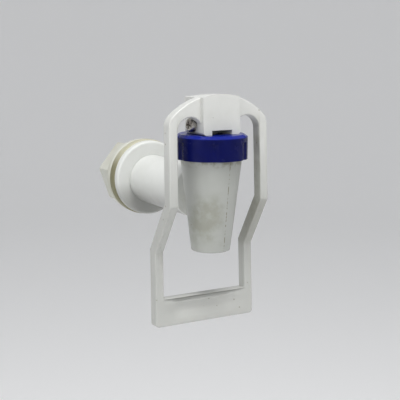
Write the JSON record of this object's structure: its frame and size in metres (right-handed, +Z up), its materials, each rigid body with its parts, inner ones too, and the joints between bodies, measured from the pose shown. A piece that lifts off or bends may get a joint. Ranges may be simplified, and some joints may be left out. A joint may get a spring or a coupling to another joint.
{
  "type": "water tap",
  "caption": "Push-frame water tap with a conical spout, a blue screwed ring, a flanged shank and a hexagon lock nut.",
  "frame": {"origin": "centre of the flange's panel side, on the shank's axis", "axes": "+Z up, -Y towards the user, +Y along the shank into the dispenser"},
  "size_m": [0.0466, 0.0926, 0.0948],
  "materials": {
    "body_plastic": "moulded, satin",
    "ring_plastic": "moulded, glossy",
    "stem_plastic": "moulded, satin",
    "seal_silicone": "soft, satin",
    "spring_steel": "drawn wire",
    "screw_steel": "plated, dull",
    "lever_plastic": "moulded, satin",
    "washer_silicone": "yellowed, satin",
    "nut_plastic": "moulded, satin"
  },
  "bodies": {
    "housing": {"body": "body_plastic", "cap_ring": "ring_plastic", "panel_washer": "washer_silicone", "lock_nut": "nut_plastic"},
    "stem": {"stem": "stem_plastic", "valve_seal": "seal_silicone", "return_spring": "spring_steel"},
    "lever": {"lever": "lever_plastic", "pivot_screw": "screw_steel"}
  },
  "joints": [
    {"name": "stem_lift", "type": "slide", "parent": "housing", "child": "stem", "axis": [0, 0, 1], "range_m": [0, 0.00205], "stiffness_N_per_m": 1200, "springref_m": -0.004, "deforming": ["return_spring", "valve_seal"]},
    {"name": "lever_push", "type": "hinge", "parent": "stem", "child": "lever", "pos_m": [0, -0.055, 0.0285], "axis": [1, 0, 0], "range_deg": [0, 15.1]}
  ],
  "couplings": [
    {"joint": "lever_push", "follows": "stem_lift", "rad_per_m": 128.2}
  ]
}
